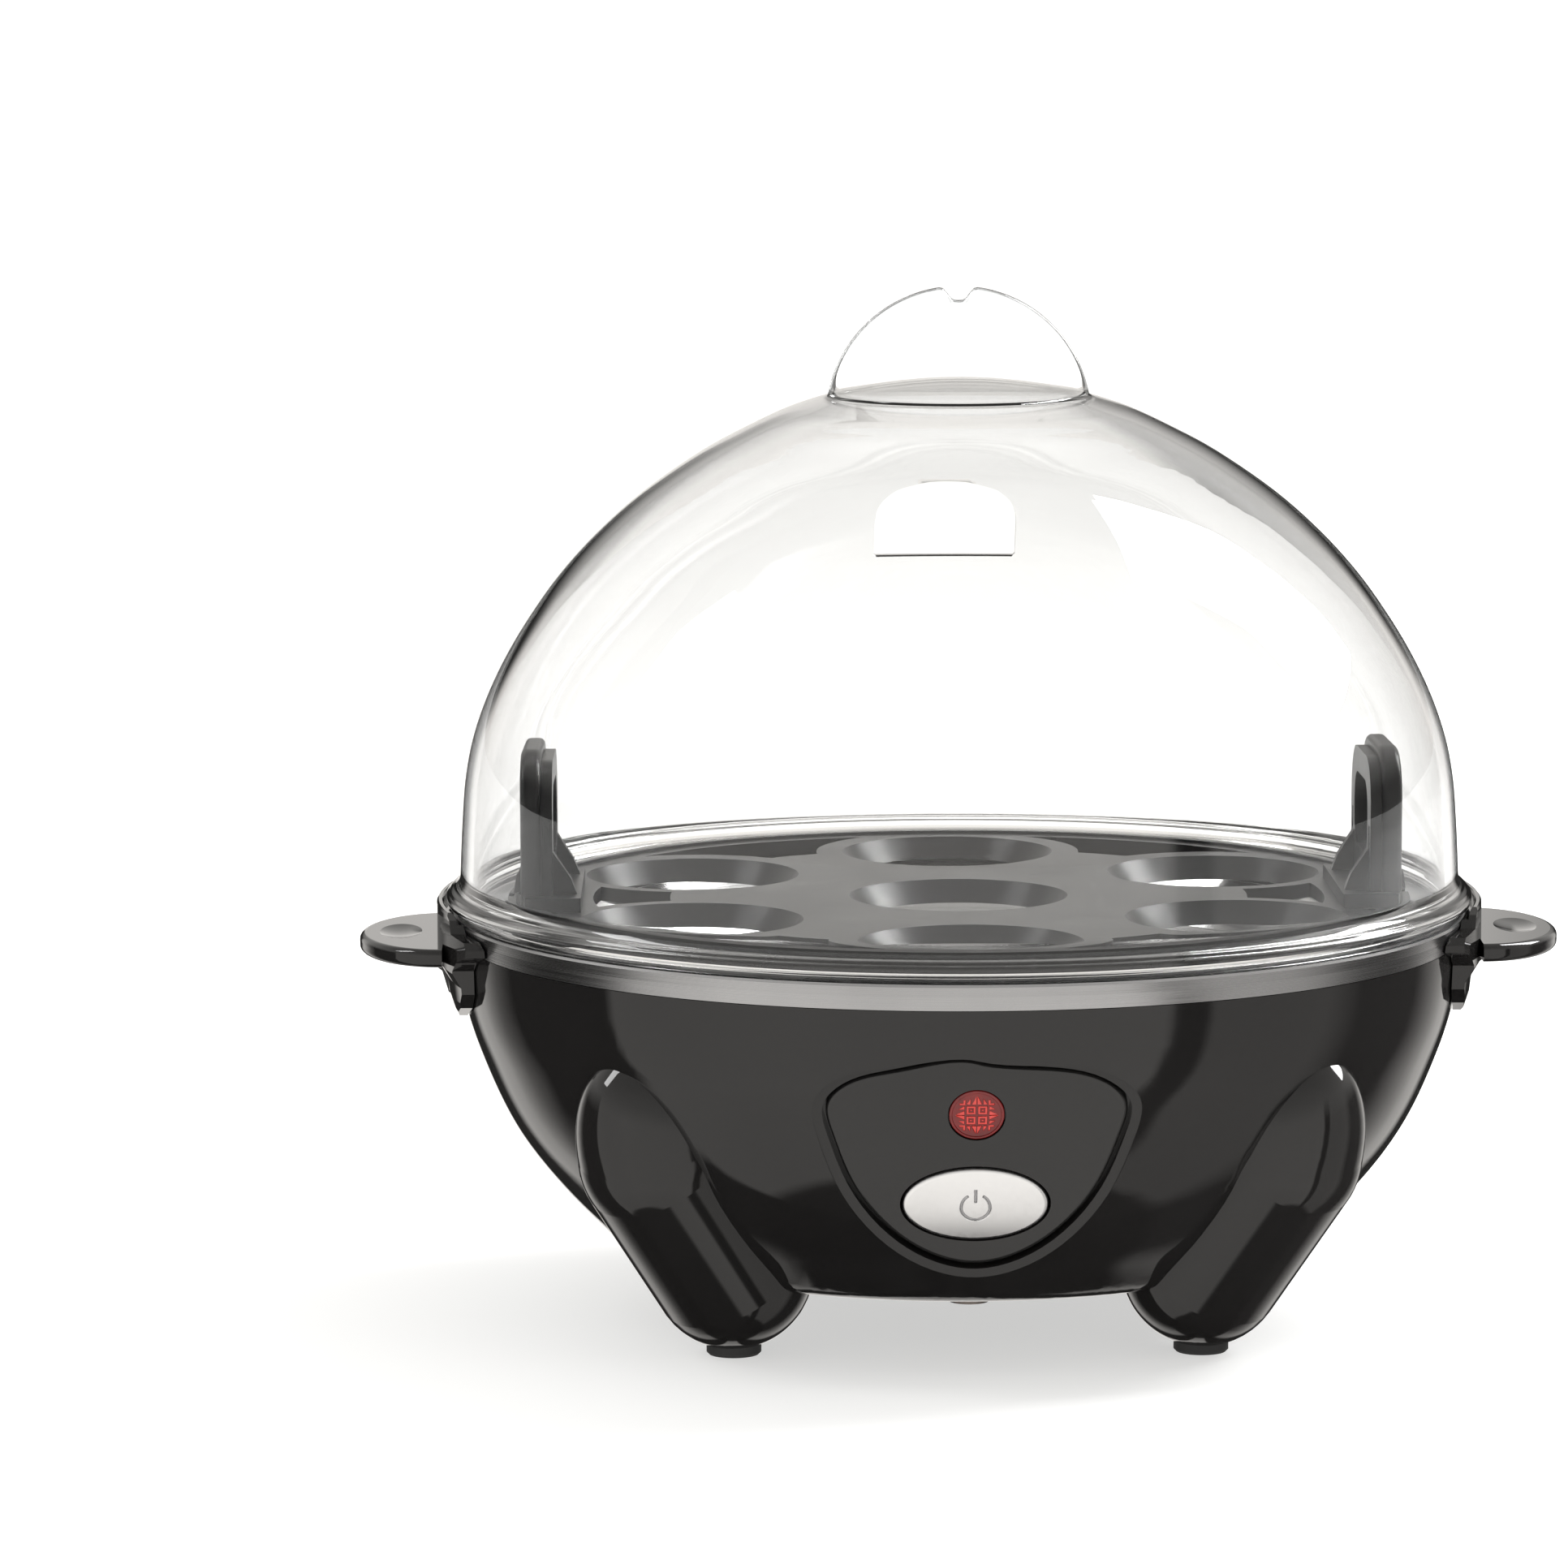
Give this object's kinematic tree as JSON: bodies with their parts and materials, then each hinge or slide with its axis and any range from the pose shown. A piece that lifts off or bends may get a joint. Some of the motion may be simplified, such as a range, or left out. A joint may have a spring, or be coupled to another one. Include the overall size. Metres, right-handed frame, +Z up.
{
  "type": "egg cooker",
  "caption": "Round countertop steam egg cooker with a clear domed lid, a lift-out egg tray over a metal water dish, side grips, legs and a front panel with a lamp and power button.",
  "frame": {"origin": "on the floor under the centre of the round body, between the four feet", "axes": "+Z up; -Y is the front with the control panel; +X and -X are the side grips"},
  "size_m": [0.1868, 0.1598, 0.1603],
  "materials": {
    "black_gloss": "polished moulded black plastic",
    "black_matte": "fine textured black plastic",
    "tray_plastic": "semi-gloss charcoal plastic",
    "clear_plastic": "clear polished plastic",
    "satin_steel": "satin, brushed round the ring",
    "satin_silver": "satin silver",
    "dish_metal": "spun satin",
    "zinc_steel": "zinc plated",
    "element_steel": "dull oxidised",
    "rubber": "matt",
    "silicone": "matt grey silicone",
    "phenolic": "matt brown",
    "nylon": "matt natural",
    "brass": "turned",
    "red_lens": "faceted red plastic",
    "lamp_glass": "clear"
  },
  "bodies": {
    "base": {"base_shell": "black_gloss", "bottom_cover": "black_matte", "bottom_screws": "zinc_steel", "rubber_feet": "rubber", "trim_ring": "satin_steel", "heating_dish": "dish_metal", "dish_seal": "silicone", "heating_element": "element_steel", "element_clamp": "dish_metal", "thermostat_clip": "zinc_steel", "thermostat": "phenolic", "thermal_fuse": "phenolic", "heat_shield": "zinc_steel", "shield_nuts": "zinc_steel", "mounting_strap": "zinc_steel", "strap_nuts": "zinc_steel", "strap_screws": "zinc_steel", "right_grip": "black_gloss", "left_grip": "black_gloss", "grip_screws": "zinc_steel", "control_panel": "black_gloss", "indicator_lens": "red_lens", "lamp_holder": "black_matte", "indicator_lamp": "lamp_glass", "switch_body": "black_matte", "switch_screws": "zinc_steel", "terminal_block": "nylon", "terminal_screws": "brass", "cord_bush": "black_matte"},
    "egg_tray": {"egg_tray": "tray_plastic", "tray_handles": "tray_plastic"},
    "lid": {"lid": "clear_plastic"},
    "button": {"power_button": "satin_silver", "switch_plunger": "nylon", "button_spring": "zinc_steel"}
  },
  "joints": [
    {"name": "tray_lift", "type": "slide", "parent": "base", "child": "egg_tray", "axis": [0, 0, 1], "range_m": [0, 0.06]},
    {"name": "lid_lift", "type": "slide", "parent": "egg_tray", "child": "lid", "axis": [0, 0, 1], "range_m": [0, 0.1]},
    {"name": "button_press", "type": "slide", "parent": "base", "child": "button", "axis": [0, 0.9397, 0.342], "range_m": [0, 0.002], "stiffness_N_per_m": 900, "deforming": ["button_spring"]}
  ]
}
